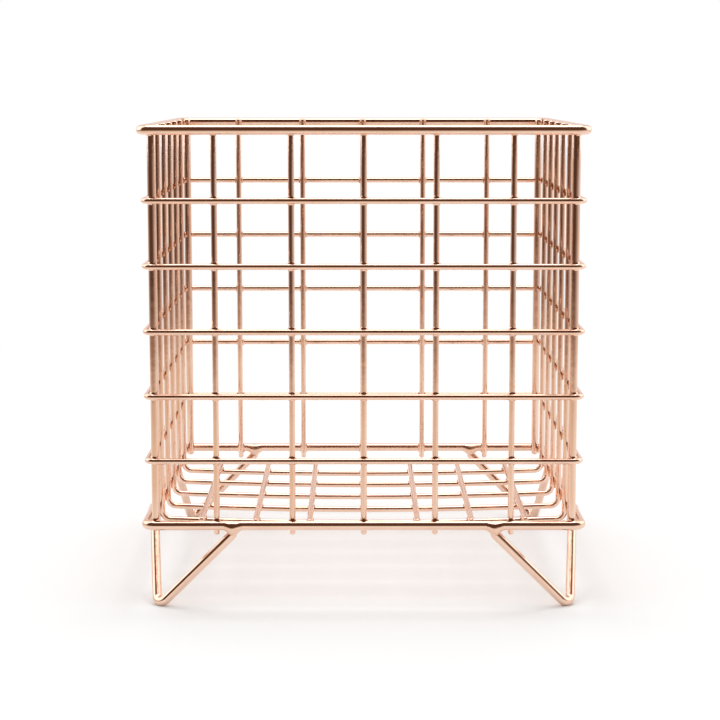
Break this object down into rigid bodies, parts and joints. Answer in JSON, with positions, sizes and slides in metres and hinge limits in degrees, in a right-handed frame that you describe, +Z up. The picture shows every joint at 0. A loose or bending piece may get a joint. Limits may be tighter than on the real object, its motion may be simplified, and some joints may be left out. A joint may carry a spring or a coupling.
{
  "type": "wire basket",
  "caption": "Open square basket of welded, rose copper plated steel wire on bent wire legs, for keeping small things together on a desk or shelf.",
  "frame": {"origin": "on the ground, under the middle of the basket", "axes": "+Z up, +X to the right of the front wall, +Y from the front wall to the back wall"},
  "size_m": [0.2268, 0.2268, 0.2432],
  "materials": {
    "rose_plating": "polished rose copper plating on steel wire"
  },
  "bodies": {
    "root": {"rim_ring": "rose_plating", "hoop_1": "rose_plating", "hoop_2": "rose_plating", "hoop_3": "rose_plating", "hoop_4": "rose_plating", "hoop_5": "rose_plating", "base_ring": "rose_plating", "corner_post_front_left": "rose_plating", "corner_post_front_right": "rose_plating", "corner_post_back_left": "rose_plating", "corner_post_back_right": "rose_plating", "front_upright_1": "rose_plating", "front_upright_2": "rose_plating", "front_upright_3": "rose_plating", "front_upright_4": "rose_plating", "front_upright_5": "rose_plating", "back_upright_1": "rose_plating", "back_upright_2": "rose_plating", "back_upright_3": "rose_plating", "back_upright_4": "rose_plating", "back_upright_5": "rose_plating", "cradle_wire_1": "rose_plating", "cradle_wire_2": "rose_plating", "cradle_wire_3": "rose_plating", "cradle_wire_4": "rose_plating", "cradle_wire_5": "rose_plating", "floor_wire_1": "rose_plating", "floor_wire_2": "rose_plating", "floor_wire_3": "rose_plating", "floor_wire_4": "rose_plating", "floor_wire_5": "rose_plating", "floor_wire_6": "rose_plating", "floor_wire_7": "rose_plating", "leg_front_left": "rose_plating", "leg_front_right": "rose_plating", "leg_back_left": "rose_plating", "leg_back_right": "rose_plating"}
  },
  "joints": []
}
